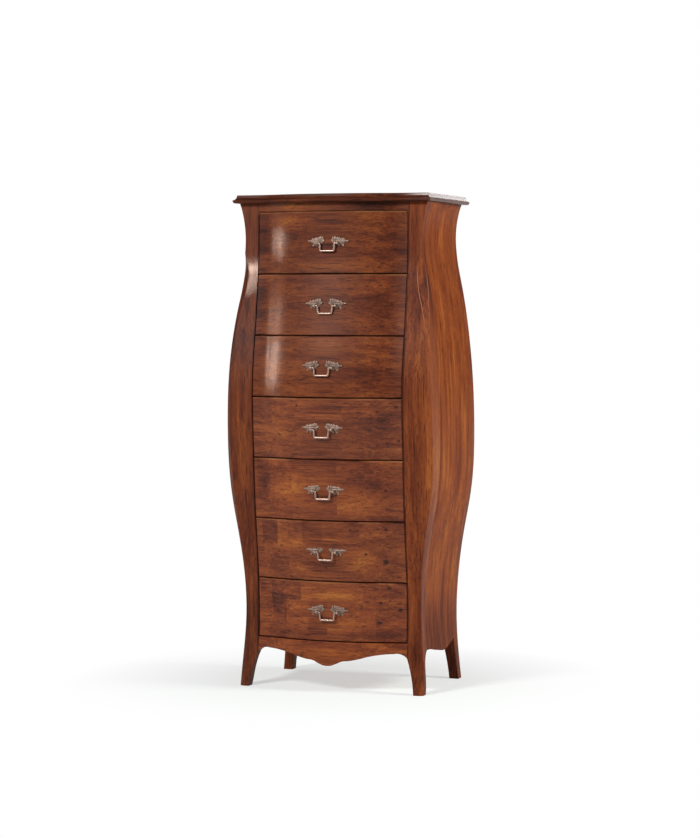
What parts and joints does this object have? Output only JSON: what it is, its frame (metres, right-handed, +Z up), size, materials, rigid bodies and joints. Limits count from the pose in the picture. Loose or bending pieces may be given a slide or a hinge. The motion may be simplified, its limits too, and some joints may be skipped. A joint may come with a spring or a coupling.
{
  "type": "chest of drawers",
  "caption": "Tall narrow bombe chest of stacked linen drawers: serpentine swelling front, moulded top, shaped apron, splayed legs and leaf-backed swinging bail pulls.",
  "frame": {"origin": "on the floor under the middle of the whole piece", "axes": "+Z up, -Y out of the front, +X to the right of a person who faces the front"},
  "size_m": [0.604, 0.4182, 1.35],
  "materials": {
    "stained_wood": "satin, red-brown walnut stain, antiqued",
    "plain_wood": "plain sanded secondary wood",
    "antique_metal": "antiqued with a dark pewter patina and bright wear"
  },
  "bodies": {
    "carcass": {"top_board": "stained_wood", "top_rail": "stained_wood", "front_apron": "stained_wood", "front_post_left": "stained_wood", "front_post_right": "stained_wood", "side_panel_left": "stained_wood", "side_panel_right": "stained_wood", "rear_post_left": "stained_wood", "rear_post_right": "stained_wood", "back_panel": "plain_wood", "bottom_board": "plain_wood", "drawer_rails": "plain_wood", "rear_rails": "plain_wood", "runners_left": "plain_wood", "runners_right": "plain_wood", "glue_blocks": "plain_wood"},
    "drawer_1": {"drawer_1_front": "stained_wood", "drawer_1_sides": "plain_wood", "drawer_1_back": "plain_wood", "drawer_1_bottom": "plain_wood", "drawer_1_pull_leaves": "antique_metal"},
    "drawer_1_bail": {"drawer_1_bail": "antique_metal"},
    "drawer_2": {"drawer_2_front": "stained_wood", "drawer_2_sides": "plain_wood", "drawer_2_back": "plain_wood", "drawer_2_bottom": "plain_wood", "drawer_2_pull_leaves": "antique_metal"},
    "drawer_2_bail": {"drawer_2_bail": "antique_metal"},
    "drawer_3": {"drawer_3_front": "stained_wood", "drawer_3_sides": "plain_wood", "drawer_3_back": "plain_wood", "drawer_3_bottom": "plain_wood", "drawer_3_pull_leaves": "antique_metal"},
    "drawer_3_bail": {"drawer_3_bail": "antique_metal"},
    "drawer_4": {"drawer_4_front": "stained_wood", "drawer_4_sides": "plain_wood", "drawer_4_back": "plain_wood", "drawer_4_bottom": "plain_wood", "drawer_4_pull_leaves": "antique_metal"},
    "drawer_4_bail": {"drawer_4_bail": "antique_metal"},
    "drawer_5": {"drawer_5_front": "stained_wood", "drawer_5_sides": "plain_wood", "drawer_5_back": "plain_wood", "drawer_5_bottom": "plain_wood", "drawer_5_pull_leaves": "antique_metal"},
    "drawer_5_bail": {"drawer_5_bail": "antique_metal"},
    "drawer_6": {"drawer_6_front": "stained_wood", "drawer_6_sides": "plain_wood", "drawer_6_back": "plain_wood", "drawer_6_bottom": "plain_wood", "drawer_6_pull_leaves": "antique_metal"},
    "drawer_6_bail": {"drawer_6_bail": "antique_metal"},
    "drawer_7": {"drawer_7_front": "stained_wood", "drawer_7_sides": "plain_wood", "drawer_7_back": "plain_wood", "drawer_7_bottom": "plain_wood", "drawer_7_pull_leaves": "antique_metal"},
    "drawer_7_bail": {"drawer_7_bail": "antique_metal"}
  },
  "joints": [
    {"name": "drawer_1_slide", "type": "slide", "parent": "carcass", "child": "drawer_1", "axis": [0, -1, 0], "range_m": [0, 0.24]},
    {"name": "drawer_1_bail_swing", "type": "hinge", "parent": "drawer_1", "child": "drawer_1_bail", "pos_m": [0, -0.15865, 1.21693], "axis": [-1, 0, 0], "range_deg": [0, 100]},
    {"name": "drawer_2_slide", "type": "slide", "parent": "carcass", "child": "drawer_2", "axis": [0, -1, 0], "range_m": [0, 0.24]},
    {"name": "drawer_2_bail_swing", "type": "hinge", "parent": "drawer_2", "child": "drawer_2_bail", "pos_m": [0, -0.17619, 1.04854], "axis": [-1, 0, 0], "range_deg": [0, 100]},
    {"name": "drawer_3_slide", "type": "slide", "parent": "carcass", "child": "drawer_3", "axis": [0, -1, 0], "range_m": [0, 0.24]},
    {"name": "drawer_3_bail_swing", "type": "hinge", "parent": "drawer_3", "child": "drawer_3_bail", "pos_m": [0, -0.20364, 0.88189], "axis": [-1, 0, 0], "range_deg": [0, 100]},
    {"name": "drawer_4_slide", "type": "slide", "parent": "carcass", "child": "drawer_4", "axis": [0, -1, 0], "range_m": [0, 0.24]},
    {"name": "drawer_4_bail_swing", "type": "hinge", "parent": "drawer_4", "child": "drawer_4_bail", "pos_m": [0, -0.20464, 0.71525], "axis": [-1, 0, 0], "range_deg": [0, 100]},
    {"name": "drawer_5_slide", "type": "slide", "parent": "carcass", "child": "drawer_5", "axis": [0, -1, 0], "range_m": [0, 0.24]},
    {"name": "drawer_5_bail_swing", "type": "hinge", "parent": "drawer_5", "child": "drawer_5_bail", "pos_m": [0, -0.19365, 0.54861], "axis": [-1, 0, 0], "range_deg": [0, 100]},
    {"name": "drawer_6_slide", "type": "slide", "parent": "carcass", "child": "drawer_6", "axis": [0, -1, 0], "range_m": [0, 0.24]},
    {"name": "drawer_6_bail_swing", "type": "hinge", "parent": "drawer_6", "child": "drawer_6_bail", "pos_m": [0, -0.17464, 0.38196], "axis": [-1, 0, 0], "range_deg": [0, 100]},
    {"name": "drawer_7_slide", "type": "slide", "parent": "carcass", "child": "drawer_7", "axis": [0, -1, 0], "range_m": [0, 0.24]},
    {"name": "drawer_7_bail_swing", "type": "hinge", "parent": "drawer_7", "child": "drawer_7_bail", "pos_m": [0, -0.16133, 0.21707], "axis": [-1, 0, 0], "range_deg": [0, 100]}
  ]
}
